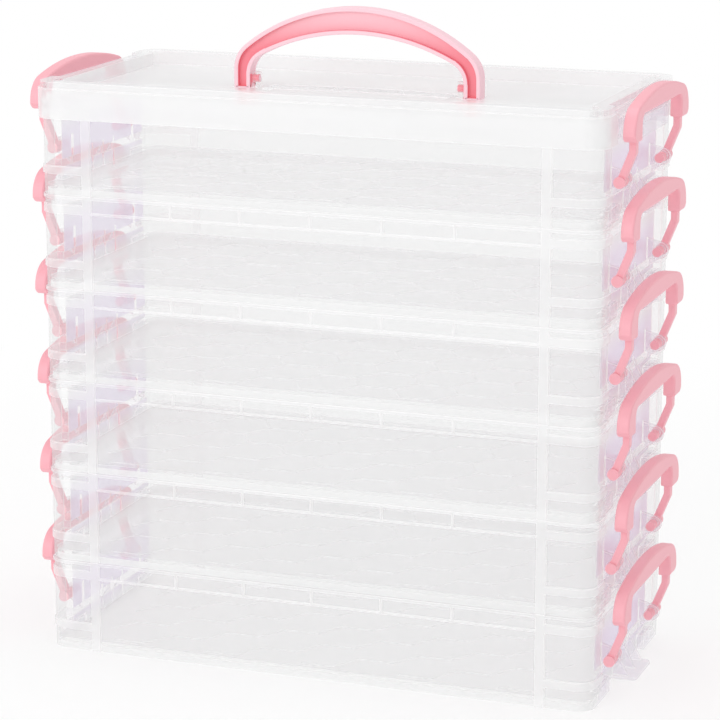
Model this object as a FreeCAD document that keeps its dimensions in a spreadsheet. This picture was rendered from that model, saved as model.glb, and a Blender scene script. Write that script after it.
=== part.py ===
import FreeCAD, Part
import math
import os
import Sketcher

# Clear stacking supply box: six equal trays, one lid, a folding carry handle and twelve swing latches.
# Lengths are millimetres. X runs along the box, the front is at -Y, Z is up, and the origin lies
# under the middle of the lowest tray.

TIERS = 6
RIM_RIBS = 5
LID_RIBS = 7
LID_END_RIBS = 3
GUSSETS = 3

SIZES = {
    # stack
    "tier_pitch": 60,
    # tray shell
    "tray_length": 366,
    "tray_depth": 169,
    "tray_corner": 11,
    "tray_wall": 1.8,
    "floor_level": 4,
    "floor_thickness": 2,
    "recess_depth": 5,
    "recess_width": 122,
    # tray rim, ribs and raised bands
    "rim_proud": 1,
    "rim_flange": 2,
    "rim_drop": 11.5,
    "rim_ledge": 1.2,
    "rim_rib_width": 1.2,
    "rim_rib_spacing": 46.5,
    "pilaster_spacing": 300,
    "pilaster_width": 6,
    "upper_band": 5.5,
    "lower_band": 5,
    "lower_band_level": 13.5,
    # stacking lip
    "lip_height": 3.2,
    "lip_wall": 1.3,
    "lip_clearance": 0.4,
    "mouth_depth": 5,
    # latch ears on the tray ends
    "pin_standoff": 3.5,
    "pin_level": 25,
    "pin_diameter": 6,
    "pin_clearance": 0.05,
    "ear_radius": 5.5,
    "ear_span": 88,
    "ear_thickness": 3,
    "ear_foot_level": 13,
    "ear_head_level": 33,
    # catch tab and steps on the tray ends
    "tab_width": 38,
    "tab_overhang": 11,
    "tab_lift": 0.2,
    "tab_thickness": 1.8,
    "tab_corner": 4,
    "gusset_thickness": 2,
    "gusset_spacing": 16,
    "gusset_foot": 10.5,
    "gusset_rise": 22,
    "step_height": 10,
    "step_gap": 82,
    "step_wall": 1.6,
    # lid
    "lid_clearance": 0.4,
    "lid_wall": 1.6,
    "lid_skirt": 11.6,
    "lid_rise": 11.5,
    "shoulder_level": 7.3,
    "shoulder_inset": 1.5,
    "lid_roof": 1.8,
    "seat_width": 2.4,
    "channel_width": 4,
    "lid_rib_width": 1.2,
    "lid_rib_spacing": 46.5,
    "lid_end_rib_spacing": 26,
    "panel_level": 2.5,
    "panel_thickness": 2,
    "curve_radius": 2.4,
    "lid_tab_width": 64,
    "lid_tab_drop": 13,
    "grip_recess_length": 124,
    "grip_recess_end": 23,
    "grip_recess_curve": 324,
    "grip_recess_depth": 3,
    "heel_well_depth": 4,
    "heel_well_floor": 1.4,
    "heel_well_width": 18,
    "heel_well_clearance": 0.5,
    # handle
    "handle_span": 165,
    "handle_leg": 11,
    "handle_rise": 48,
    "handle_grip": 17,
    "handle_depth": 10,
    "handle_pivot_level": 8,
    "handle_spring": 6,
    "inner_spring": 3,
    "outer_shoulder": 20,
    "inner_shoulder": 14,
    "handle_flange": 2.8,
    "handle_channel": 3,
    "handle_heel": 4,
    "handle_channel_end": 5,
    "handle_pin_diameter": 5,
    "bracket_gap": 1,
    "bracket_thickness": 4,
    "bracket_radius": 4.5,
    "bracket_foot": 9.4,
    # latch
    "latch_width": 130,
    "latch_top": 52,
    "latch_spring": 30,
    "latch_shoulder": 16,
    "latch_inner_face": 3.5,
    "latch_thickness": 8,
    "latch_skirt": 25,
    "latch_skirt_chamfer": 4,
    "latch_opening_width": 96,
    "latch_opening_top": 40,
    "latch_opening_corner": 6,
    "leg_gap": 2.5,
    "leg_width": 6.5,
    "leg_thickness": 4.2,
    "leg_bend_level": 18.6,
    "leg_bend_reach": 7.4,
    "leg_sink": 2,
    "boss_diameter": 7.2,
    "boss_width": 8,
    "latch_pin_overhang": 6.5,
}


class Size:
    """A length with the number it has now and the sheet formula that gives it."""

    def __init__(self, value, formula):
        self.value = value
        self.formula = formula

    def joined(self, sign, other, value):
        return Size(value, f"({self.formula} {sign} {other.formula})")

    def __add__(self, other):
        other = as_size(other)
        return self.joined("+", other, self.value + other.value)

    def __sub__(self, other):
        other = as_size(other)
        return self.joined("-", other, self.value - other.value)

    def __mul__(self, other):
        other = as_size(other)
        return self.joined("*", other, self.value * other.value)

    def __truediv__(self, other):
        other = as_size(other)
        return self.joined("/", other, self.value / other.value)

    def __rmul__(self, other):
        return as_size(other) * self

    def __neg__(self):
        return as_size(0) - self


def as_size(number):
    return number if isinstance(number, Size) else Size(float(number), str(number))


class Sheet:
    """The document's spreadsheet of driving sizes, read as attributes."""

    def __init__(self, doc, sizes):
        self.cells = doc.addObject("Spreadsheet::Sheet", "Sizes")
        self.known = {}
        for row, (name, value) in enumerate(sizes.items(), start=1):
            self.cells.set(f"A{row}", name)
            self.cells.set(f"B{row}", str(value))
            self.cells.setAlias(f"B{row}", name)
            self.known[name] = Size(float(value), f"Sizes.{name}")

    def __getattr__(self, name):
        return self.known[name]


# Outlines: each vertex is (x, y, radius to the next vertex), with None for a straight edge. A radius
# above zero turns to the left on the way to the next vertex, and one below zero turns to the right.

def rounded(corners):
    """A closed outline of level and upright edges, each corner (x, y, radius or None)."""
    outline = []
    count = len(corners)
    for index, (x, y, radius) in enumerate(corners):
        if radius is None:
            outline.append((x, y, None))
            continue
        before = corners[index - 1]
        after = corners[(index + 1) % count]
        enter = leg(before, (x, y), radius)
        leave = leg(after, (x, y), radius)
        turn = ((x.value - before[0].value) * (after[1].value - y.value)
                - (y.value - before[1].value) * (after[0].value - x.value))
        outline.append((*enter, radius if turn > 0 else -radius))
        outline.append((*leave, None))
    return outline


def leg(other, corner, radius):
    """The point at one radius from a corner, on the edge towards another corner."""
    x, y = corner
    across = other[0].value - x.value
    along = other[1].value - y.value
    if abs(across) > abs(along):
        return (x + radius if across > 0 else x - radius, y)
    return (x, y + radius if along > 0 else y - radius)


def rectangle(x_low, x_high, y_low, y_high):
    return [(x_low, y_low, None), (x_high, y_low, None), (x_high, y_high, None), (x_low, y_high, None)]


def end_recess_outline(half_length, half_depth, recess, recess_half, corner, curve=None):
    """The box's plan: a rounded rectangle with a shallow recess in the middle of both ends."""
    floor = half_length - recess
    right = [(half_length, -recess_half, curve), (floor, -recess_half, curve),
             (floor, recess_half, curve), (half_length, recess_half, curve)]
    left = [(-x, y, radius) for x, y, radius in reversed(right)]
    return rounded([(-half_length, -half_depth, corner), (half_length, -half_depth, corner), *right,
                    (half_length, half_depth, corner), (-half_length, half_depth, corner), *left])


def arch(half_span, spring, crown, shoulder):
    """A three-centred arch from right to left: two shoulder arcs and one crown arc, all tangent."""
    rise = crown - spring
    crown_radius = ((half_span * half_span + rise * rise - 2 * half_span * shoulder)
                    / (2 * rise - 2 * shoulder))
    reach = crown_radius - shoulder
    shoulder_x = half_span - shoulder
    tangent_x = shoulder_x + shoulder * shoulder_x / reach
    tangent_y = spring + shoulder * (spring - crown + crown_radius) / reach
    return [(half_span, spring, shoulder), (tangent_x, tangent_y, crown_radius),
            (-tangent_x, tangent_y, shoulder), (-half_span, spring, None)]


def reverse(outline):
    """The same open outline walked the other way."""
    back = []
    for index in range(len(outline) - 1, -1, -1):
        radius = outline[index - 1][2] if index else None
        back.append((*outline[index][:2], None if radius is None else -radius))
    return back


def edge_geometry(start, end, radius):
    """A line or an arc for a sketch, and which of its ends is the start of the walk."""
    first = FreeCAD.Vector(start[0].value, start[1].value, 0)
    last = FreeCAD.Vector(end[0].value, end[1].value, 0)
    if radius is None:
        return Part.LineSegment(first, last), (1, 2)
    ends = (1, 2)
    if radius.value < 0:
        first, last = last, first
        ends = (2, 1)
    chord = last - first
    across = FreeCAD.Vector(-chord.y, chord.x, 0) / chord.Length
    size = abs(radius.value)
    centre = (first + last) / 2 + across * math.sqrt(max(size ** 2 - (chord.Length / 2) ** 2, 0))
    circle = Part.Circle(centre, FreeCAD.Vector(0, 0, 1), size)
    begin = math.atan2(first.y - centre.y, first.x - centre.x)
    finish = math.atan2(last.y - centre.y, last.x - centre.x)
    return Part.ArcOfCircle(circle, begin, finish), ends


def pin_vertex(edge, end, vertex):
    """The two constraints that hold a vertex, with the formula of each."""
    held = []
    for kind, axis, place in (("DistanceX", -2, vertex[0]), ("DistanceY", -1, vertex[1])):
        if abs(place.value) < 1e-9:
            held.append((Sketcher.Constraint("PointOnObject", edge, end, axis), None))
        else:
            held.append((Sketcher.Constraint(kind, -1, 1, edge, end, place.value), place.formula))
    return held


def draw(sketch, outline):
    """Adds one closed outline to a sketch, held by the sheet's sizes."""
    base = sketch.GeometryCount
    count = len(outline)
    edges = [edge_geometry(outline[i], outline[(i + 1) % count], outline[i][2]) for i in range(count)]
    sketch.addGeometry([geometry for geometry, ends in edges], False)
    held = []
    for index, vertex in enumerate(outline):
        following = (index + 1) % count
        start, end = edges[index][1]
        held.append((Sketcher.Constraint("Coincident", base + index, end,
                                         base + following, edges[following][1][0]), None))
        held += pin_vertex(base + index, start, vertex)
        if vertex[2] is not None:
            size = vertex[2] if vertex[2].value > 0 else -vertex[2]
            held.append((Sketcher.Constraint("Radius", base + index, size.value), size.formula))
    bind(sketch, held)


def draw_circle(sketch, x, y, radius):
    base = sketch.GeometryCount
    centre = FreeCAD.Vector(x.value, y.value, 0)
    sketch.addGeometry(Part.Circle(centre, FreeCAD.Vector(0, 0, 1), radius.value), False)
    held = pin_vertex(base, 3, (x, y))
    held.append((Sketcher.Constraint("Radius", base, radius.value), radius.formula))
    bind(sketch, held)


def bind(sketch, held):
    first = sketch.ConstraintCount
    sketch.addConstraint([constraint for constraint, formula in held])
    for index, (constraint, formula) in enumerate(held):
        if formula is not None:
            sketch.setExpression(f"Constraints[{first + index}]", formula)


def sketch_on(body, plane, name, level, outlines=(), circles=()):
    """A sketch on one of the body's origin planes, moved along the plane's normal by level."""
    sketch = body.newObject("Sketcher::SketchObject", name)
    support = next(item for item in body.Origin.OriginFeatures if item.Role == plane)
    sketch.AttachmentSupport = [(support, "")]
    sketch.MapMode = "FlatFace"
    sketch.AttachmentOffset = FreeCAD.Placement(FreeCAD.Vector(0, 0, level.value), FreeCAD.Rotation())
    sketch.setExpression("AttachmentOffset.Base.z", level.formula)
    for outline in outlines:
        draw(sketch, outline)
    for circle in circles:
        draw_circle(sketch, *circle)
    return sketch


def grow(kind, body, plane, name, level, length, outlines=(), circles=(), flip=False):
    """A pad or pocket of the given outlines, starting at a level of the plane."""
    sketch = sketch_on(body, plane, name + "_outline", level, outlines, circles)
    feature = body.newObject(kind, name)
    feature.Profile = sketch
    feature.Length = length.value
    feature.setExpression("Length", length.formula)
    feature.Reversed = flip
    return feature


def pad(*details, **options):
    return grow("PartDesign::Pad", *details, **options)


def pocket(*details, **options):
    return grow("PartDesign::Pocket", *details, **options)


def mirror(body, feature, plane, name):
    """The feature once more on the other side of an origin plane."""
    copy = body.newObject("PartDesign::Mirrored", name)
    copy.Originals = [feature]
    copy.MirrorPlane = (next(item for item in body.Origin.OriginFeatures if item.Role == plane), [""])
    body.Tip = copy
    return copy


def new_body(doc, label):
    body = doc.addObject("PartDesign::Body", label)
    body.Label = label
    return body


def place(body, x, z, turned=False):
    """Sets a piece in the box, by the sheet, and turns it half way round for the left end."""
    body.Placement.Rotation = FreeCAD.Rotation(FreeCAD.Vector(0, 0, 1), 180 if turned else 0)
    body.setExpression("Placement.Base.x", x.formula)
    body.setExpression("Placement.Base.z", z.formula)
    return body


def repeat(doc, form, label):
    """One more piece of the same form, as a body of its own."""
    body = new_body(doc, label)
    body.BaseFeature = form
    return body


def spread(count, spacing):
    """Evenly spaced places about zero."""
    return [spacing * (index - (count - 1) / 2) for index in range(count)]


def tray_plan(sheet, grown):
    """The tray's plan outline, grown outwards from the wall's outer face."""
    half_length = sheet.tray_length / 2 + grown
    half_depth = sheet.tray_depth / 2 + grown
    return end_recess_outline(half_length, half_depth, sheet.recess_depth,
                              sheet.recess_width / 2 - grown, sheet.tray_corner + grown)


def tray_end_bands(sheet):
    """The two raised outlines that wrap the tray's ends, from pilaster to pilaster."""
    half_length = sheet.tray_length / 2 + sheet.rim_proud
    half_depth = sheet.tray_depth / 2 + sheet.rim_proud
    corner = sheet.tray_corner + sheet.rim_proud
    recess_half = sheet.recess_width / 2 - sheet.rim_proud
    start = sheet.pilaster_spacing / 2
    floor = half_length - sheet.recess_depth
    right = [(start, -half_depth, None), (half_length, -half_depth, corner),
             (half_length, -recess_half, None), (floor, -recess_half, None),
             (floor, recess_half, None), (half_length, recess_half, None),
             (half_length, half_depth, corner), (start, half_depth, None)]
    left = [(-x, y, radius) for x, y, radius in reversed(right)]
    return [rounded(right), rounded(left)]


def both_sides(low, high, inner, outer):
    """Two rectangles of one x range, on the front and on the back."""
    return [rectangle(low, high, -outer, -inner), rectangle(low, high, inner, outer)]


def both_ends(outline):
    """An outline on the right end and its mirror image on the left."""
    turned = [(-x, y) for x, y, radius in reversed(outline)]
    turns = [radius for x, y, radius in reversed(outline)]
    turns = turns[1:] + turns[:1]
    return [outline, [(*place, radius) for place, radius in zip(turned, turns)]]


def tray_shell(body, sheet):
    """The walls with their rim, ribs, bands and lip, then the hollows above and below the floor."""
    zero = as_size(0)
    top = sheet.tier_pitch
    proud = sheet.rim_proud
    face = sheet.tray_depth / 2
    ledge = top - sheet.rim_drop
    inner = face - sheet.tray_wall
    pad(body, "XY_Plane", "walls", zero, top, [tray_plan(sheet, zero)])
    pad(body, "XY_Plane", "rim_flange", top - sheet.rim_flange, sheet.rim_flange, [tray_plan(sheet, proud)])
    pad(body, "XY_Plane", "rim_ledge", ledge, sheet.rim_ledge, [tray_plan(sheet, proud)])
    pad(body, "XY_Plane", "upper_bands", ledge, sheet.upper_band, tray_end_bands(sheet))
    pad(body, "XY_Plane", "lower_bands", sheet.lower_band_level, sheet.lower_band, tray_end_bands(sheet))
    half = sheet.pilaster_width / 2
    pilasters = []
    for centre in spread(2, sheet.pilaster_spacing):
        pilasters += both_sides(centre - half, centre + half, inner, face + proud)
    pad(body, "XY_Plane", "pilasters", zero, top, pilasters)
    half = sheet.rim_rib_width / 2
    ribs = []
    for centre in spread(RIM_RIBS, sheet.rim_rib_spacing):
        ribs += both_sides(centre - half, centre + half, inner, face + proud)
    pad(body, "XY_Plane", "rim_ribs", ledge, sheet.rim_drop, ribs)
    lip = -sheet.tray_wall - sheet.lip_clearance
    pad(body, "XY_Plane", "lip", top, sheet.lip_height, [tray_plan(sheet, lip)])
    mouth = sheet.mouth_depth + sheet.lip_height
    pocket(body, "XY_Plane", "mouth", top + sheet.lip_height, mouth, [tray_plan(sheet, lip - sheet.lip_wall)])
    floor = sheet.floor_level + sheet.floor_thickness
    hollow = top - sheet.mouth_depth
    pocket(body, "XY_Plane", "cavity", hollow, hollow - floor, [tray_plan(sheet, -sheet.tray_wall)])
    pocket(body, "XY_Plane", "underside", zero, sheet.floor_level, [tray_plan(sheet, -sheet.tray_wall)],
           flip=True)


def tray_ends(body, sheet):
    """The hinge ears, catch tabs with gussets, and steps in the two end recesses."""
    zero = as_size(0)
    end = sheet.tray_length / 2
    wall = end - sheet.recess_depth
    root = wall - sheet.tray_wall / 2
    step_low = sheet.step_gap / 2
    step_high = sheet.recess_width / 2
    steps = []
    hollows = []
    room = end - sheet.step_wall
    for side in (1, -1):
        steps += both_sides(side * root, side * end, step_low, step_high + sheet.tray_wall / 2)
        hollows += both_sides(side * wall, side * room, step_low + sheet.step_wall, step_high)
    pad(body, "XY_Plane", "steps", zero, sheet.step_height, steps)
    pocket(body, "XY_Plane", "step_hollows", zero, sheet.step_height - sheet.step_wall, hollows, flip=True)
    half = sheet.tab_width / 2
    tip = end + sheet.tab_overhang
    tab = rounded([(root, -half, None), (tip, -half, sheet.tab_corner),
                   (tip, half, sheet.tab_corner), (root, half, None)])
    pad(body, "XY_Plane", "catch_tabs", sheet.tab_lift, sheet.tab_thickness, both_ends(tab))
    tab_top = sheet.tab_lift + sheet.tab_thickness
    gusset = [(root, sheet.tab_lift, None), (wall + sheet.gusset_foot, sheet.tab_lift, None),
              (wall + sheet.gusset_foot, tab_top, None), (root, tab_top + sheet.gusset_rise, None)]
    for index, centre in enumerate(spread(GUSSETS, sheet.gusset_spacing)):
        pad(body, "XZ_Plane", f"gussets_{index + 1}", centre - sheet.gusset_thickness / 2,
            sheet.gusset_thickness, both_ends(gusset))
    pin_x = end + sheet.pin_standoff
    level = sheet.pin_level
    radius = sheet.ear_radius
    ear = [(root, sheet.ear_foot_level, None), (pin_x, level - radius, radius),
           (pin_x + radius, level, radius), (pin_x, level + radius, None), (root, sheet.ear_head_level, None)]
    ears = pad(body, "XZ_Plane", "front_ears", sheet.ear_span / 2, sheet.ear_thickness, both_ends(ear))
    mirror(body, ears, "XZ_Plane", "back_ears")
    reach = sheet.ear_span / 2 + 2 * sheet.ear_thickness
    bore = sheet.pin_diameter / 2 + sheet.pin_clearance
    pocket(body, "XZ_Plane", "pin_holes", reach, 2 * reach,
           circles=[(pin_x, level, bore), (-pin_x, level, bore)])


def trays(doc, sheet):
    """Six equal trays, the first at the top."""
    form = new_body(doc, "tray_form")
    tray_shell(form, sheet)
    tray_ends(form, sheet)
    return [place(repeat(doc, form, f"tray_{tier}"), as_size(0), sheet.tier_pitch * (TIERS - tier))
            for tier in range(1, TIERS + 1)]


def lid_plan(sheet, grown, curve=None):
    """The lid's plan outline, grown outwards from the tray rim's outer face."""
    proud = sheet.rim_proud + grown
    half_length = sheet.tray_length / 2 + proud
    half_depth = sheet.tray_depth / 2 + proud
    return end_recess_outline(half_length, half_depth, sheet.recess_depth,
                              sheet.recess_width / 2 - proud, sheet.tray_corner + proud, curve)


def lid_shell(body, sheet):
    """The skirt, the hollow rim with its ribs and the sunken top panel."""
    zero = as_size(0)
    curve = sheet.curve_radius
    skirt_inside = sheet.lid_clearance
    outside = skirt_inside + sheet.lid_wall
    seat = skirt_inside - sheet.seat_width
    channel = seat - sheet.channel_width
    inner = channel - sheet.lid_wall
    underside = sheet.panel_level - sheet.panel_thickness
    roof = sheet.lid_rise - sheet.lid_roof
    pad(body, "XY_Plane", "skirt", -sheet.lid_skirt, sheet.lid_skirt + sheet.shoulder_level,
        [lid_plan(sheet, outside, curve)])
    pad(body, "XY_Plane", "rim", sheet.shoulder_level, sheet.lid_rise - sheet.shoulder_level,
        [lid_plan(sheet, outside - sheet.shoulder_inset, curve)])
    pocket(body, "XY_Plane", "tray_fit", -sheet.lid_skirt, sheet.lid_skirt,
           [lid_plan(sheet, skirt_inside)], flip=True)
    pocket(body, "XY_Plane", "panel_underside", zero, underside, [lid_plan(sheet, seat)], flip=True)
    pocket(body, "XY_Plane", "rim_channel", underside, roof - underside,
           [lid_plan(sheet, seat), lid_plan(sheet, channel)], flip=True)
    pocket(body, "XY_Plane", "panel_recess", sheet.lid_rise, sheet.lid_rise - sheet.panel_level,
           [lid_plan(sheet, inner, curve)])
    rib_foot = sheet.lip_height + 2 * sheet.lip_clearance
    overlap = sheet.lid_wall / 2
    rim_face = sheet.tray_depth / 2 + sheet.rim_proud
    near = channel - overlap
    far = seat + overlap
    half = sheet.lid_rib_width / 2
    ribs = []
    for centre in spread(LID_RIBS, sheet.lid_rib_spacing):
        ribs += both_sides(centre - half, centre + half, rim_face + near, rim_face + far)
    end_face = sheet.tray_length / 2 + sheet.rim_proud - sheet.recess_depth
    for centre in spread(LID_END_RIBS, sheet.lid_end_rib_spacing):
        for side in (1, -1):
            ribs.append(rectangle(side * (end_face + near), side * (end_face + far),
                                  centre - half, centre + half))
    pad(body, "XY_Plane", "rim_ribs", rib_foot, roof + sheet.lid_roof / 2 - rib_foot, ribs)


def lid_catches(body, sheet):
    """A catch on each end for the top latches: a tab with a front plate and two cheeks."""
    skirt = (sheet.tray_length / 2 + sheet.rim_proud - sheet.recess_depth
             + sheet.lid_clearance + sheet.lid_wall / 2)
    tip = sheet.tray_length / 2 + sheet.tab_overhang
    half = sheet.lid_tab_width / 2
    top = sheet.tab_lift + sheet.tab_thickness
    tab = rounded([(skirt, -half, None), (tip, -half, sheet.tab_corner),
                   (tip, half, sheet.tab_corner), (skirt, half, None)])
    pad(body, "XY_Plane", "catches", top - sheet.lid_tab_drop, sheet.lid_tab_drop, both_ends(tab))
    face = tip - sheet.lid_wall
    low = half - sheet.lid_wall
    inner = sheet.tab_corner - sheet.lid_wall
    room = rounded([(skirt + sheet.lid_wall / 2, -low, None), (face, -low, inner),
                    (face, low, inner), (skirt + sheet.lid_wall / 2, low, None)])
    pocket(body, "XY_Plane", "catch_hollows", top - sheet.lid_tab_drop,
           sheet.lid_tab_drop - sheet.tab_thickness, both_ends(room), flip=True)


def barrel(half_length, half_end, curve):
    """A long outline with bowed sides and straight ends."""
    return [(-half_length, -half_end, curve), (half_length, -half_end, None),
            (half_length, half_end, curve), (-half_length, half_end, None)]


def lid_grip(body, sheet):
    """The bowed hand recess, the two wells for the handle's heels and the pin brackets beside them."""
    half_length = sheet.grip_recess_length / 2
    half_end = sheet.grip_recess_end / 2
    depth = sheet.grip_recess_depth
    wall = sheet.lid_wall
    below = sheet.panel_level - depth - sheet.panel_thickness
    pad(body, "XY_Plane", "grip_dish", below, depth + sheet.panel_thickness / 2,
        [barrel(half_length + wall, half_end + wall, sheet.grip_recess_curve + wall)])
    pocket(body, "XY_Plane", "grip_recess", sheet.panel_level, depth,
           [barrel(half_length, half_end, sheet.grip_recess_curve)])
    leg_face = sheet.handle_span / 2 - sheet.handle_leg
    near = leg_face - sheet.heel_well_clearance
    far = sheet.handle_span / 2 + sheet.heel_well_clearance
    well_half = sheet.heel_well_width / 2
    well = rectangle(near, far, -well_half, well_half)
    well_dish = rectangle(near - wall, far + wall, -well_half - wall, well_half + wall)
    well_bottom = sheet.panel_level - sheet.heel_well_depth - sheet.heel_well_floor
    pad(body, "XY_Plane", "heel_dishes", well_bottom,
        sheet.panel_level - sheet.panel_thickness / 2 - well_bottom, both_ends(well_dish))
    pocket(body, "XY_Plane", "heel_wells", sheet.panel_level, sheet.heel_well_depth, both_ends(well))
    outer = leg_face - sheet.bracket_gap
    inner = outer - sheet.bracket_thickness
    level = sheet.handle_pivot_level
    radius = sheet.bracket_radius
    foot = sheet.bracket_foot / 2
    root = sheet.panel_level - sheet.panel_thickness / 2
    bracket = [(-foot, root, None), (foot, root, None), (radius, level, radius),
               (as_size(0), level + radius, radius), (-radius, level, None)]
    right = pad(body, "YZ_Plane", "right_bracket", inner, sheet.bracket_thickness, [bracket])
    mirror(body, right, "YZ_Plane", "left_bracket")
    bore = sheet.handle_pin_diameter / 2 + sheet.pin_clearance
    reach = outer + sheet.bracket_thickness
    pocket(body, "YZ_Plane", "handle_pin_holes", reach, 2 * reach, circles=[(as_size(0), level, bore)])


def lid(doc, sheet):
    body = new_body(doc, "lid")
    lid_shell(body, sheet)
    lid_catches(body, sheet)
    lid_grip(body, sheet)
    return place(body, as_size(0), sheet.tier_pitch * TIERS)


def handle_band(sheet, trim, foot):
    """The handle's face between its outer and inner arches, both moved in by trim."""
    outer_half = sheet.handle_span / 2 - trim
    inner_half = sheet.handle_span / 2 - sheet.handle_leg + trim
    inner_crown = sheet.handle_rise - sheet.handle_grip + trim
    outer = arch(outer_half, sheet.handle_spring, sheet.handle_rise - trim, sheet.outer_shoulder - trim)
    inner = arch(inner_half, sheet.inner_spring, inner_crown, sheet.inner_shoulder + trim)
    return [(outer_half, foot, None), *outer, (-outer_half, foot, None),
            (-inner_half, foot, None), *reverse(inner), (inner_half, foot, None)]


def handle(doc, sheet):
    """The arched carry handle, its round heels below the pivot, long channels and inward pins."""
    zero = as_size(0)
    body = new_body(doc, "handle")
    half_depth = sheet.handle_depth / 2
    inner = sheet.handle_span / 2 - sheet.handle_leg
    heel = -sheet.handle_heel
    pad(body, "XZ_Plane", "arch", -half_depth, sheet.handle_depth, [handle_band(sheet, zero, heel)])
    foot = pad(body, "YZ_Plane", "right_heel", inner, sheet.handle_leg, circles=[(zero, heel, half_depth)])
    mirror(body, foot, "YZ_Plane", "left_heel")
    channel = pocket(body, "XZ_Plane", "front_channel", half_depth, sheet.handle_channel,
                     [handle_band(sheet, sheet.handle_flange, -sheet.handle_channel_end)])
    mirror(body, channel, "XZ_Plane", "back_channel")
    length = sheet.bracket_gap + sheet.bracket_thickness
    pin = pad(body, "YZ_Plane", "right_pin", inner - length, length + sheet.handle_flange,
              circles=[(zero, zero, sheet.handle_pin_diameter / 2)])
    mirror(body, pin, "YZ_Plane", "left_pin")
    return place(body, zero, sheet.tier_pitch * TIERS + sheet.handle_pivot_level)


def latch_form(doc, sheet):
    """One swing latch about its own pin line: an arched head, two cranked legs, and a pin on each leg."""
    zero = as_size(0)
    body = new_body(doc, "latch_form")
    half = sheet.latch_width / 2
    skirt = sheet.latch_skirt
    chamfer = sheet.latch_skirt_chamfer
    opening = sheet.latch_opening_width / 2
    corner = sheet.latch_opening_corner
    top = sheet.latch_opening_top
    head = [(half - chamfer, skirt, None), (half, skirt + chamfer, None),
            *arch(half, sheet.latch_spring, sheet.latch_top, sheet.latch_shoulder),
            (-half, skirt + chamfer, None), (chamfer - half, skirt, None), (-opening, skirt, None),
            (-opening, top - corner, -corner), (corner - opening, top, None),
            (opening - corner, top, -corner), (opening, top - corner, None), (opening, skirt, None)]
    pad(body, "YZ_Plane", "head", sheet.latch_inner_face, sheet.latch_thickness, [head])
    rise = sheet.leg_bend_level
    lean = sheet.leg_bend_reach
    across = sheet.leg_thickness / 2
    drop = across * lean / rise
    buried = skirt + sheet.leg_sink
    crank = [(-across, drop, None), (across, -drop, None), (lean + across, rise - drop, None),
             (lean + across, buried, None), (lean - across, buried, None), (lean - across, rise + drop, None)]
    leg_face = sheet.ear_span / 2 + sheet.ear_thickness + sheet.leg_gap
    front_leg = pad(body, "XZ_Plane", "front_leg", leg_face, sheet.leg_width, [crank])
    mirror(body, front_leg, "XZ_Plane", "back_leg")
    front_boss = pad(body, "XZ_Plane", "front_boss", leg_face, sheet.boss_width,
                     circles=[(zero, zero, sheet.boss_diameter / 2)])
    mirror(body, front_boss, "XZ_Plane", "back_boss")
    start = sheet.ear_span / 2 - sheet.latch_pin_overhang
    front_pin = pad(body, "XZ_Plane", "front_pin", start, leg_face + sheet.leg_width / 2 - start,
                    circles=[(zero, zero, sheet.pin_diameter / 2)])
    mirror(body, front_pin, "XZ_Plane", "back_pin")
    return body


def latches(doc, sheet):
    """A latch on both ends of every tray."""
    form = latch_form(doc, sheet)
    reach = sheet.tray_length / 2 + sheet.pin_standoff
    pieces = []
    for tier in range(1, TIERS + 1):
        level = sheet.tier_pitch * (TIERS - tier) + sheet.pin_level
        pieces.append(place(repeat(doc, form, f"latch_{tier}_right"), reach, level))
        pieces.append(place(repeat(doc, form, f"latch_{tier}_left"), -reach, level, turned=True))
    return pieces


def check(doc, bodies):
    """Stops before anything is written if a feature failed or a piece has no sound solid."""
    for item in doc.Objects:
        if "Invalid" in item.State or "Error" in item.State:
            raise RuntimeError(f"{item.Name} could not be built: {item.State}")
    for body in bodies:
        if body.Shape.isNull() or not body.Shape.isValid() or len(body.Shape.Solids) != 1:
            raise RuntimeError(f"{body.Label} is not one sound solid")


def main():
    doc = FreeCAD.newDocument("supply_box")
    sheet = Sheet(doc, SIZES)
    doc.recompute()
    bodies = [*trays(doc, sheet), lid(doc, sheet), handle(doc, sheet), *latches(doc, sheet)]
    doc.recompute()
    check(doc, bodies)
    os.makedirs("parts", exist_ok=True)
    for body in bodies:
        body.Shape.exportStep(os.path.join("parts", body.Label + ".step"))


main()
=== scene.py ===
import math

import bmesh
import bpy
from mathutils import Matrix, Vector

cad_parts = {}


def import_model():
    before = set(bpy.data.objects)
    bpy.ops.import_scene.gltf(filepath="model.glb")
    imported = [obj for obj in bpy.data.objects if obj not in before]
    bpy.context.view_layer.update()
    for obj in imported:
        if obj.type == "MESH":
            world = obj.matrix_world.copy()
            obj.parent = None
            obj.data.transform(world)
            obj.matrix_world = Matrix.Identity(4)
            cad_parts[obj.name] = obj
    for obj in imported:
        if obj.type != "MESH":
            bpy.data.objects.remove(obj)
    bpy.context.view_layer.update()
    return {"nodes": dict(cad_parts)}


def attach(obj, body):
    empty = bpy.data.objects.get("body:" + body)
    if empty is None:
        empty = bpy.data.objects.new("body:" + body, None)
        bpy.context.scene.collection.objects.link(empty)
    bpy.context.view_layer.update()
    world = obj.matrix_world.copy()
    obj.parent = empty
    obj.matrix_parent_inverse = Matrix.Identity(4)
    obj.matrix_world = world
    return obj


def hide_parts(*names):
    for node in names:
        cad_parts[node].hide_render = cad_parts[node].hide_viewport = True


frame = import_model()

MM = 0.001
TIERS = 6
SIDES = ("right", "left")

# Tray floors: a raised honeycomb.
TIER_PITCH = 60 * MM
FLOOR_TOP = 6 * MM
COMB_SIDE = 21.9 * MM
COMB_RIDGE = 1.6 * MM
COMB_HEIGHT = 0.6 * MM
COMB_HALF_LENGTH = 168 * MM
COMB_HALF_DEPTH = 79 * MM
COMB_WELD = 0.05 * MM

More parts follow.
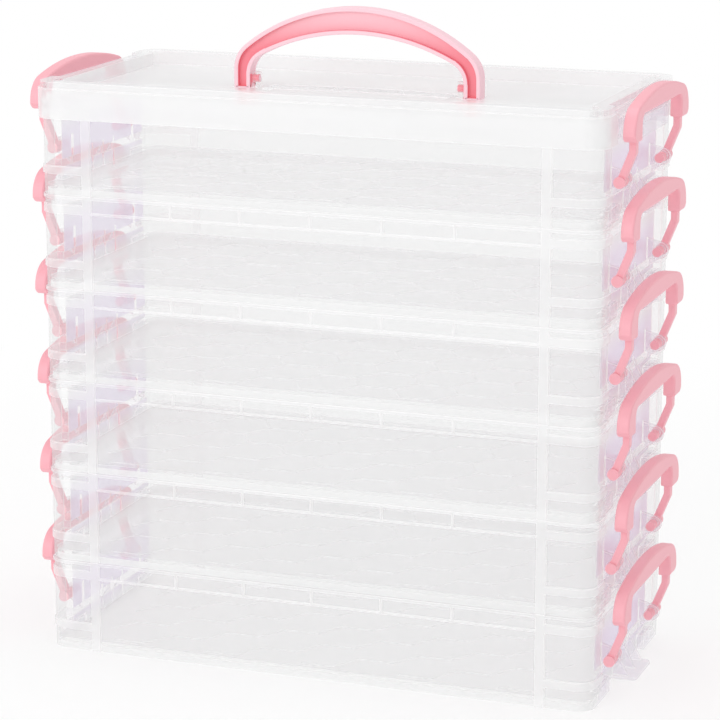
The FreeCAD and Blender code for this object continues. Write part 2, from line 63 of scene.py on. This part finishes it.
# Outlines that tell the parts of a tray, of the lid and of the handle apart, and how much of a face's normal
# has to point along an axis.
WALL_HALF_LENGTH = 183 * MM
WALL_HALF_DEPTH = 84.5 * MM
WALL_CORNER = 11 * MM
RECESS_FACE = 178 * MM
RECESS_HALF = 60.9 * MM
LID_RIM_HALF_LENGTH = 184.5 * MM
LID_RIM_HALF_DEPTH = 86 * MM
LID_RECESS_FACE = 179.5 * MM
LID_RIM_WIDTH = 14 * MM
LID_PANEL_LEVEL = 362.5 * MM
LIP_HEIGHT = 3.4 * MM
HANDLE_HALF_DEPTH = 5 * MM
CHANNEL_END = 362.9 * MM
TOUCH = 0.3 * MM
FACING = 0.5

# Merging of the CAD copies, and the edge rounding of the mouldings.
WELD = 0.004 * MM
FACET_ANGLE = math.radians(0.4)
CLEAR_ROUNDING = 0.3 * MM
HANDLE_ROUNDING = 0.6 * MM
LATCH_ROUNDING = 1.2 * MM
CLEAR_SEGMENTS = 2
PINK_SEGMENTS = 3
PIN_BAND = (20 * MM, 29.5 * MM)
TAB_LEVEL = 0.5 * MM
SHARP_ANGLE = math.radians(32)
STRAIGHT_ON = math.radians(130)
FLAT_ANGLE = math.radians(0.5)
ROUNDING_ROOM = 0.42
ROUNDING_STEP = 0.2
ROUNDING_PASSES = 4

# Clear plastic: the share of its veil that lamp light and bounced light skip, the shares of a tier's height
# between which the painted pink light of the latches on its ends comes and goes, and how many clear layers a ray
# may pass.
LIGHT_PASS = 0.6
PAINTED_PINK_RISE = (0.05, 0.3)
PAINTED_PINK_FALL = (0.55, 0.85)
CLEAR_LAYERS = 64

# Pink plastic: the heights between which the painted shade in the handle's channels goes from dark to pale.
PAINTED_SHADE_FADE = (382 * MM, 418 * MM)

# Sockets of a Mix node that blends colours.
MIX_COLOURS = (6, 7)
MIX_RESULT = 2

# Camera, fitted to the photograph.
CAMERA_PLACE = (0.6235, -1.6861, 0.6209)
CAMERA_YAW = math.radians(20.253)
CAMERA_PITCH = math.radians(13.527)
CAMERA_LENS = 143.32
SENSOR_WIDTH = 36

# Studio: the floor's half width, its glow near the box and where it turns white, the room's light, and the
# point that the lamps aim at.
FLOOR_HALF = 12
FLOOR_FADE = (0.25, 0.9)
NEAR_GLOW = 0.55
ROOM_LIGHT = 0.76
LAMP_AIM = (0, 0, 0.2)


class Field:
    """A shader value that takes part in ordinary arithmetic by adding nodes to its tree."""

    def __init__(self, tree, socket):
        self.tree = tree
        self.socket = socket

    def maths(self, operation, *others, clamp=False):
        node = self.tree.nodes.new("ShaderNodeMath")
        node.operation = operation
        node.use_clamp = clamp
        for slot, value in zip(node.inputs, (self, *others)):
            connect(self.tree, slot, value)
        return Field(self.tree, node.outputs[0])

    def __add__(self, other):
        return self.maths("ADD", other)

    def __radd__(self, other):
        return self.maths("ADD", other)

    def __sub__(self, other):
        return self.maths("SUBTRACT", other)

    def __rsub__(self, other):
        return self.maths("MULTIPLY_ADD", -1, other)

    def __mul__(self, other):
        return self.maths("MULTIPLY", other)

    def __rmul__(self, other):
        return self.maths("MULTIPLY", other)

    def __pow__(self, other):
        return self.maths("POWER", other)

    def clamped(self):
        return self.maths("ADD", 0, clamp=True)


def connect(tree, slot, value):
    """Link a field to a socket, or set the socket to a plain value."""
    if isinstance(value, Field):
        tree.links.new(value.socket, slot)
    else:
        slot.default_value = value


class Finish:
    """A material under construction: its tree, its surface shader and ways to add nodes."""

    def __init__(self, name):
        self.material = bpy.data.materials.new(name)
        self.material.use_nodes = True
        self.tree = self.material.node_tree
        self.surface = self.tree.nodes["Principled BSDF"]

    def node(self, kind, output, settings=None, **inputs):
        node = self.tree.nodes.new(kind)
        for key, value in (settings or {}).items():
            setattr(node, key, value)
        for key, value in inputs.items():
            connect(self.tree, node.inputs[key.replace("_", " ")], value)
        return Field(self.tree, node.outputs[output])

    def place(self):
        return self.node("ShaderNodeTexCoord", "Object")

    def height(self):
        return self.node("ShaderNodeSeparateXYZ", "Z", Vector=self.place())

    def noise(self, scale, detail=2.0, stretch=None):
        place = self.place()
        if stretch is not None:
            place = self.node("ShaderNodeMapping", "Vector", Vector=place, Scale=stretch)
        return self.node("ShaderNodeTexNoise", "Fac", Vector=place, Scale=scale, Detail=detail)

    def blend(self, amount, low, high):
        """A colour between two, by a value from 0 to 1."""
        node = self.tree.nodes.new("ShaderNodeMix")
        node.data_type = "RGBA"
        connect(self.tree, node.inputs["Factor"], amount)
        for slot, colour in zip(MIX_COLOURS, (low, high)):
            connect(self.tree, node.inputs[slot], colour if isinstance(colour, Field) else (*colour, 1))
        return Field(self.tree, node.outputs[MIX_RESULT])

    def ramp(self, value, start, end):
        """A smooth rise from 0 to 1 while a value goes from start to end."""
        return self.node("ShaderNodeMapRange", "Result", {"interpolation_type": "SMOOTHSTEP"}, Value=value,
                         From_Min=start, From_Max=end)

    def bump(self, height, distance, strength):
        return self.node("ShaderNodeBump", "Normal", Height=height, Distance=distance, Strength=strength)

    def set(self, **inputs):
        for key, value in inputs.items():
            connect(self.tree, self.surface.inputs[key.replace("_", " ")], value)


def clear_plastic(name, veil, grazing, low, high, latch_painted_pink=None):
    """See-through moulding: a milky veil that thickens towards grazing views and lets light in."""
    finish = Finish(name)
    flow = finish.noise(scale=9.0, detail=3.0, stretch=(1.0, 1.0, 3.0))
    facing = finish.node("ShaderNodeLayerWeight", "Facing", Blend=0.35)
    lamp_ray = finish.node("ShaderNodeLightPath", "Is Shadow Ray")
    bounced_ray = finish.node("ShaderNodeLightPath", "Is Diffuse Ray")
    cover = (veil + veil * 0.2 * flow + grazing * facing ** 3).clamped()
    colour = finish.blend(flow, low, high)
    # Painted pink light of the latches showing in the clear end walls, over the middle of each tier's height.
    if latch_painted_pink:
        share = (finish.height() * (1 / TIER_PITCH)).maths("FRACT")
        painted_pink_share = finish.ramp(share, *PAINTED_PINK_RISE) - finish.ramp(share, *PAINTED_PINK_FALL)
        colour = finish.blend(painted_pink_share, colour, latch_painted_pink)
    finish.set(Base_Color=colour, Roughness=0.12 + 0.1 * flow, IOR=1.49,
               Alpha=cover * (1 - LIGHT_PASS * (lamp_ray + bounced_ray)))
    return finish.material


def pink_plastic(name, low, high, painted_shade=None):
    """Opaque satin moulding with a slight drift of colour, a fine grain and, if given, a darker painted shade
    below.
    """
    finish = Finish(name)
    drift = finish.noise(scale=22.0, detail=3.0)
    grain = finish.noise(scale=2600.0, detail=1.0)
    colour = finish.blend(drift, low, high)
    if painted_shade:
        # Painted shade: the colour darkens towards the bottom of the handle's channels.
        colour = finish.blend(finish.ramp(finish.height(), *PAINTED_SHADE_FADE), painted_shade, colour)
    finish.set(Base_Color=colour, Roughness=0.36 + 0.08 * drift, IOR=1.5,
               Normal=finish.bump(grain, distance=0.04 * MM, strength=0.25))
    return finish.material


def mesh_of(name, form):
    """The mesh of a finished form."""
    mesh = bpy.data.meshes.new(name)
    form.to_mesh(mesh)
    form.free()
    return mesh


def new_piece(name, mesh, body, slot, *materials):
    """A piece of the box that moves with a CAD body."""
    piece = bpy.data.objects.new(name, mesh)
    bpy.context.collection.objects.link(piece)
    for material in materials:
        mesh.materials.append(material)
    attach(piece, body)
    return piece


def continues(edge, other, vert):
    """Whether another edge goes on from an edge at a corner in almost the same direction."""
    along = edge.other_vert(vert).co - vert.co
    return along.angle(other.other_vert(vert).co - vert.co) > STRAIGHT_ON


def rounding_shares(edges, rounding):
    """How much of the full rounding each sharp edge has room for beside its neighbours."""
    shares = {}
    for edge in edges:
        sides = [side.calc_length() for vert in edge.verts for face in edge.link_faces for side in face.edges
                 if vert in side.verts and side is not edge and not continues(edge, side, vert)]
        shares[edge] = min(1.0, ROUNDING_ROOM * min(sides, default=rounding) / rounding)
    for _ in range(ROUNDING_PASSES):
        for edge in edges:
            nearby = [shares[other] for vert in edge.verts for other in vert.link_edges
                      if other in shares and other is not edge and continues(edge, other, vert)]
            shares[edge] = min(shares[edge], min(nearby, default=1.0) + ROUNDING_STEP)
    return shares


def near_pin(edge):
    """Whether an edge lies beside a latch's pins, where there is no room for rounding."""
    low, high = PIN_BAND
    return all(low < vert.co.z % TIER_PITCH < high for vert in edge.verts)


def under_tab(edge):
    """Whether an edge is the inner corner under a catch tab, too close to the tray's base for rounding."""
    return not edge.is_convex and all(vert.co.z % TIER_PITCH < TAB_LEVEL for vert in edge.verts)


def merged_copy(node):
    """A copy of one CAD piece with its loose triangles merged into whole faces."""
    form = bmesh.new()
    form.from_mesh(frame["nodes"][node].data)
    bmesh.ops.remove_doubles(form, verts=form.verts, dist=WELD)
    bmesh.ops.dissolve_limit(form, angle_limit=FACET_ANGLE, verts=form.verts, edges=form.edges)
    bmesh.ops.connect_verts_concave(form, faces=form.faces)
    return form


def mark_faces(form, order, part_of, clear):
    """Give each face its finish, and shade the plane faces of a clear piece flat."""
    for face in form.faces:
        turns = [edge.calc_face_angle(0) for edge in face.edges]
        face.smooth = not clear or any(FLAT_ANGLE < turn < SHARP_ANGLE for turn in turns)
        face.material_index = order.index(part_of(face)) if part_of else 0


def mark_edges(form, order, rounding, unrounded):
    """Mark the sharp edges, and weight those that show by the rounding they have room for."""
    weight = form.edges.layers.float.new("bevel_weight_edge")
    sharp = [edge for edge in form.edges if edge.calc_face_angle(0) > SHARP_ANGLE]
    for edge in sharp:
        edge.smooth = False
    shown = [edge for edge in sharp if any(order[face.material_index] != "inside" for face in edge.link_faces)
             and not (unrounded and unrounded(edge))]
    for edge, share in rounding_shares(shown, rounding).items():
        edge[weight] = share


def moulding(node, name, slot, rounding, segments, finishes, part_of=None, unrounded=None):
    """A dressed copy of one CAD piece, with soft edges and a finish for each part of it."""
    order = list(finishes)
    clear = "edge" in finishes
    form = merged_copy(node)
    mark_faces(form, order, part_of, clear)
    mark_edges(form, order, rounding, unrounded)
    piece = new_piece(name, mesh_of(name, form), node, slot, *finishes.values())
    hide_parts(node)
    bevel = piece.modifiers.new("edges", "BEVEL")
    bevel.width = rounding
    bevel.segments = segments
    bevel.limit_method = "WEIGHT"
    bevel.profile = 0.5
    bevel.use_clamp_overlap = False
    if clear:
        # The bevels of a clear piece take the white edge finish, a painted highlight along its rounded edges.
        bevel.material = order.index("edge")
        bevel.mark_sharp = True
    else:
        piece.modifiers.new("shading", "WEIGHTED_NORMAL").keep_sharp = True


def beyond(face, half_length, half_depth, corner):
    """How far a face's middle stands outside a rounded rectangle, below zero when it is inside."""
    x, y = face.calc_center_median().xy
    across = abs(x) - (half_length - corner)
    along = abs(y) - (half_depth - corner)
    if across > 0 and along > 0:
        return math.hypot(across, along) - corner
    return max(across, along) - corner


def tray_part(face):
    """Which finish a face of a tray takes: relief, wall, latch end with its painted pink light, ears, floor, lip
    with its painted highlight, or inside.
    """
    middle = face.calc_center_median()
    if abs(middle.x) > RECESS_FACE - TOUCH and abs(middle.y) < RECESS_HALF:
        return "end" if abs(middle.x) < RECESS_FACE + TOUCH else "ears"
    stand = beyond(face, WALL_HALF_LENGTH, WALL_HALF_DEPTH, WALL_CORNER)
    if stand > TOUCH:
        return "relief"
    if stand > -TOUCH:
        return "wall"
    if face.normal.z > FACING:
        return "floor"
    return "lip" if middle.z % TIER_PITCH < LIP_HEIGHT else "inside"


def handle_part(face):
    """Which finish a face of the handle takes: a channel's bed, its banks or the rest; beds and banks carry
    painted shade.
    """
    middle = face.calc_center_median()
    if middle.z < CHANNEL_END or not TOUCH < abs(middle.y) < HANDLE_HALF_DEPTH - TOUCH:
        return "face"
    return "bed" if abs(face.normal.y) > FACING else "bank"


def lid_part(face):
    """Which finish a face of the lid takes: skirt and rim, catches, panel or inside."""
    middle = face.calc_center_median()
    if abs(middle.x) > LID_RECESS_FACE - TOUCH and abs(middle.y) < RECESS_HALF:
        return "ears"
    stand = beyond(face, LID_RIM_HALF_LENGTH, LID_RIM_HALF_DEPTH, WALL_CORNER)
    inwards = face.normal.x * middle.x + face.normal.y * middle.y < 0 and stand < -LID_RIM_WIDTH / 2
    raised = stand > -LID_RIM_WIDTH - TOUCH and middle.z > LID_PANEL_LEVEL + TOUCH
    if stand > -TOUCH or raised and (inwards or face.normal.z > FACING):
        return "rim"
    return "panel" if face.normal.z > FACING else "inside"


def comb_cells():
    """Middles of the honeycomb cells that lie on the floor."""
    across = 1.5 * COMB_SIDE
    along = math.sqrt(3) * COMB_SIDE
    columns = int((COMB_HALF_LENGTH - COMB_SIDE) / across)
    rows = int(COMB_HALF_DEPTH / along) + 1
    for column in range(-columns, columns + 1):
        for row in range(-rows, rows + 1):
            y = (row + 0.5 * ((column + 1) % 2)) * along
            if abs(y) + along / 2 <= COMB_HALF_DEPTH:
                yield column * across, y


def honeycomb(tier, material):
    """The raised comb on one tray's floor, as a single thin net."""
    level = TIER_PITCH * (TIERS - tier) + FLOOR_TOP
    quarter_turn = Matrix.Rotation(math.pi / 2, 4, "Z")
    form = bmesh.new()
    for x, y in comb_cells():
        bmesh.ops.create_circle(form, cap_ends=True, segments=6, radius=COMB_SIDE,
                                matrix=Matrix.Translation((x, y, level)) @ quarter_turn)
    bmesh.ops.remove_doubles(form, verts=form.verts, dist=COMB_WELD)
    cells = list(form.faces)
    bmesh.ops.inset_individual(form, faces=cells, thickness=COMB_RIDGE / 2)
    bmesh.ops.delete(form, geom=cells, context="FACES_ONLY")
    net = list(form.faces)
    raised = bmesh.ops.extrude_face_region(form, geom=net, use_keep_orig=True)
    tops = [item for item in raised["geom"] if isinstance(item, bmesh.types.BMVert)]
    bmesh.ops.translate(form, verts=tops, vec=(0, 0, COMB_HEIGHT))
    bmesh.ops.recalc_face_normals(form, faces=form.faces)
    name = f"floor_comb_{tier}"
    new_piece(name, mesh_of(name, form), f"tray_{tier}", "clear_plastic", material)


def build_box():
    """All finishes, then every tray with its comb and latches, the lid and the handle."""
    inside = clear_plastic("clear_inside", 0.04, 0.10, (0.86, 0.86, 0.865), (0.91, 0.91, 0.915))
    ears = clear_plastic("clear_ears", 0.24, 0.20, (0.79, 0.74, 0.83), (0.85, 0.80, 0.89))
    # Painted highlight: the white, more solid finish of the clear pieces' rounded edges.
    edge = clear_plastic("clear_edges_painted_highlight", 0.50, 0.10, (0.97, 0.97, 0.97), (1.0, 1.0, 1.0))
    tray_clear = {
        "wall": clear_plastic("clear_walls", 0.26, 0.25, (0.755, 0.76, 0.765), (0.80, 0.805, 0.81)),
        "relief": clear_plastic("clear_relief", 0.44, 0.25, (0.85, 0.85, 0.855), (0.90, 0.90, 0.905)),
        # The ends take a painted pink light of the latches showing in the clear plastic.
        "end": clear_plastic("clear_ends", 0.62, 0.20, (0.80, 0.80, 0.815), (0.86, 0.86, 0.87),
                             latch_painted_pink=(0.80, 0.69, 0.91)),
        "floor": clear_plastic("clear_floors", 0.28, 0.45, (0.79, 0.79, 0.795), (0.83, 0.83, 0.835)),
        # Painted highlight: the lips at the foot of each tier are whiter and more solid than the walls.
        "lip": clear_plastic("clear_lips_painted_highlight", 0.45, 0.20, (0.93, 0.93, 0.93), (0.97, 0.97, 0.97)),
        "ears": ears, "inside": inside, "edge": edge,
    }
    lid_clear = {
        "rim": clear_plastic("clear_rim", 0.40, 0.30, (0.88, 0.88, 0.885), (0.93, 0.93, 0.935)),
        "panel": clear_plastic("clear_panel", 0.24, 1.30, (0.85, 0.85, 0.855), (0.88, 0.88, 0.885)),
        "ears": ears, "inside": inside, "edge": edge,
    }
    comb = clear_plastic("clear_comb", 0.28, 0.10, (0.97, 0.97, 0.97), (1.0, 1.0, 1.0))
    latch_pink = {"face": pink_plastic("pink_latches", (0.935, 0.42, 0.48), (0.955, 0.455, 0.515))}
    handle_pink = {
        "face": pink_plastic("pink_handle", (0.965, 0.63, 0.695), (0.98, 0.66, 0.725)),
        # The channels' beds and banks are darker pink than the faces, a painted shade that grows darker lower
        # down.
        "bed": pink_plastic("pink_beds_painted_shade", (0.965, 0.59, 0.65), (0.98, 0.62, 0.68), painted_shade=(0.94, 0.27, 0.33)),
        "bank": pink_plastic("pink_banks_painted_shade", (0.95, 0.36, 0.42), (0.965, 0.39, 0.45), painted_shade=(0.94, 0.24, 0.30)),
    }
    for tier in range(1, TIERS + 1):
        moulding(f"tray_{tier}", f"tray_moulding_{tier}", "clear_plastic", CLEAR_ROUNDING, CLEAR_SEGMENTS,
                 tray_clear, tray_part, under_tab)
        honeycomb(tier, comb)
        for side in SIDES:
            moulding(f"latch_{tier}_{side}", f"latch_moulding_{tier}_{side}", "pink_plastic",
                     LATCH_ROUNDING, PINK_SEGMENTS, latch_pink, unrounded=near_pin)
    moulding("lid", "lid_moulding", "clear_plastic", CLEAR_ROUNDING, CLEAR_SEGMENTS, lid_clear, lid_part)
    moulding("handle", "handle_moulding", "pink_plastic", HANDLE_ROUNDING, PINK_SEGMENTS,
             handle_pink, handle_part)


def area_lamp(name, place, size, power):
    """A soft lamp that aims at the box."""
    lamp = bpy.data.objects.new(name, bpy.data.lights.new(name, "AREA"))
    lamp.data.shape = "RECTANGLE"
    lamp.data.size, lamp.data.size_y = size
    lamp.data.energy = power
    lamp.location = place
    lamp.rotation_mode = "QUATERNION"
    lamp.rotation_quaternion = (Vector(LAMP_AIM) - Vector(place)).to_track_quat("-Z", "Y")
    bpy.context.collection.objects.link(lamp)


def floor():
    """A pale floor that keeps the box's shadow and goes over into plain white further out."""
    finish = Finish("studio_floor")
    pale = finish.blend(finish.noise(scale=1.5), (0.96, 0.96, 0.96), (0.98, 0.98, 0.98))
    finish.set(Base_Color=pale, Roughness=0.9)
    reach = finish.node("ShaderNodeVectorMath", "Value", {"operation": "LENGTH"}, Vector=finish.place())
    far = NEAR_GLOW + (1 - NEAR_GLOW) * finish.ramp(reach, *FLOOR_FADE)
    glow = finish.node("ShaderNodeEmission", "Emission", Color=(1, 1, 1, 1))
    lit = Field(finish.tree, finish.surface.outputs[0])
    mixed = finish.tree.nodes.new("ShaderNodeMixShader")
    for slot, value in zip(mixed.inputs, (far, lit, glow)):
        connect(finish.tree, slot, value)
    finish.tree.links.new(mixed.outputs[0], finish.tree.nodes["Material Output"].inputs["Surface"])
    form = bmesh.new()
    bmesh.ops.create_grid(form, x_segments=1, y_segments=1, size=FLOOR_HALF)
    mesh = mesh_of("studio_floor", form)
    mesh.materials.append(finish.material)
    plane = bpy.data.objects.new("studio_floor", mesh)
    bpy.context.collection.objects.link(plane)


def world():
    """White behind the box for the camera, and a softer grey for the light that the room gives."""
    sky = bpy.data.worlds.new("studio")
    sky.use_nodes = True
    tree = sky.node_tree
    path = tree.nodes.new("ShaderNodeLightPath")
    seen = Field(tree, path.outputs["Is Camera Ray"])
    connect(tree, tree.nodes["Background"].inputs["Strength"], ROOM_LIGHT + (1 - ROOM_LIGHT) * seen)
    tree.nodes["Background"].inputs["Color"].default_value = (1, 1, 1, 1)
    bpy.context.scene.world = sky


def camera():
    """The photograph's view."""
    view = bpy.data.objects.new("camera", bpy.data.cameras.new("camera"))
    view.data.lens = CAMERA_LENS
    view.data.sensor_width = SENSOR_WIDTH
    view.location = CAMERA_PLACE
    view.rotation_euler = (math.pi / 2 - CAMERA_PITCH, 0, CAMERA_YAW)
    bpy.context.collection.objects.link(view)
    bpy.context.scene.camera = view


def stage():
    """Everything around the box, and how the picture is made."""
    floor()
    world()
    camera()
    area_lamp("key", (-1.1, -2.2, 1.1), (2.0, 1.6), 17)
    area_lamp("top", (0.1, 0.2, 2.2), (1.8, 1.4), 10)
    scene = bpy.context.scene
    scene.view_settings.view_transform = "Standard"
    scene.cycles.transparent_max_bounces = CLEAR_LAYERS


build_box()
stage()
